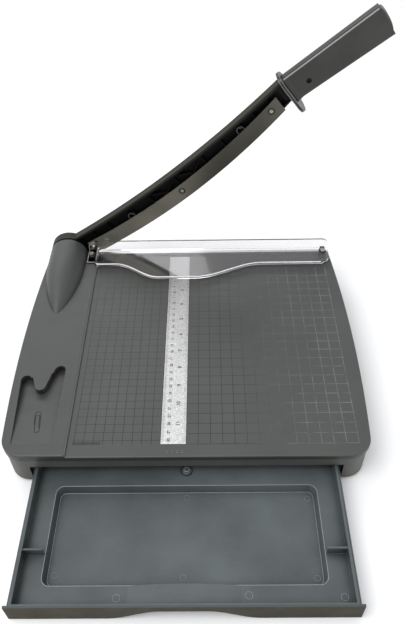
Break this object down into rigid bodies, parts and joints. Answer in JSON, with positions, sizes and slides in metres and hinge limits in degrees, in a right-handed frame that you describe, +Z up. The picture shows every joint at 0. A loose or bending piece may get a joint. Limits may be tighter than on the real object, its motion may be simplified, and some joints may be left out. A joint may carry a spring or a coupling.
{
  "type": "guillotine paper cutter",
  "caption": "Desk guillotine paper cutter: raised hinged arm with a curved blade, ruled work table with fence and clip pocket, clear finger guard and a pull-out storage drawer.",
  "frame": {"origin": "on the desk, below the middle of the work table", "axes": "+X along the cut from the pivot to the free end, +Y from the user's side towards the cutting edge, +Z up"},
  "size_m": [0.416, 0.4865, 0.3644],
  "materials": {
    "table_plastic": "fine-grained moulded ABS, dark neutral grey",
    "housing_plastic": "fine-grained moulded ABS, dark grey",
    "drawer_plastic": "satin moulded ABS, blue-grey",
    "arm_plastic": "satin glass-filled nylon, dark grey",
    "grip_plastic": "satin moulded grip, dark grey",
    "cap_plastic": "satin moulded plug, grey",
    "black_plastic": "satin moulded black plastic",
    "clear_plastic": "clear polystyrene with a faint violet tint",
    "ruler_aluminium": "satin anodised sheet",
    "blade_steel": "ground and oiled tool steel",
    "plated_steel": "zinc-plated fasteners and plate",
    "bronze": "sintered bronze bush",
    "rubber": "matt moulded rubber"
  },
  "bodies": {
    "base": {"base_shell": "housing_plastic", "bottom_cover": "black_plastic", "bottom_cover_screws": "plated_steel", "table_top": "table_plastic", "housing_screws": "plated_steel", "rubber_feet": "rubber", "counter_blade": "blade_steel", "counter_blade_screws": "plated_steel", "ruler_plate": "ruler_aluminium", "pivot_fairing": "table_plastic", "pivot_bracket": "plated_steel", "bracket_screws": "plated_steel", "pivot_bolt": "plated_steel", "pivot_spacer": "plated_steel", "pivot_washer": "plated_steel", "pivot_spring_washer": "plated_steel", "pivot_nut": "plated_steel", "pivot_cap": "black_plastic", "finger_guard": "clear_plastic", "guard_post": "black_plastic", "guard_screws": "plated_steel", "runner_left": "black_plastic", "runner_right": "black_plastic", "runner_screws": "plated_steel"},
    "arm": {"arm_body": "black_plastic", "arm_cover": "arm_plastic", "arm_cover_screws": "plated_steel", "arm_bush": "bronze", "moving_blade": "blade_steel", "blade_screws": "plated_steel", "hand_guard": "black_plastic", "grip_front": "grip_plastic", "grip_rear": "grip_plastic", "grip_end_cap": "cap_plastic", "grip_screws": "plated_steel"},
    "drawer": {"drawer_tray": "drawer_plastic", "drawer_front": "drawer_plastic", "drawer_stop_stud": "drawer_plastic"}
  },
  "joints": [
    {"name": "arm_hinge", "type": "hinge", "parent": "base", "child": "arm", "pos_m": [-0.163, 0.16792, 0.047], "axis": [0, -1, 0], "range_deg": [-38.5, 25]},
    {"name": "drawer_slide", "type": "slide", "parent": "base", "child": "drawer", "axis": [0, -1, 0], "range_m": [-0.1405, 0]}
  ]
}
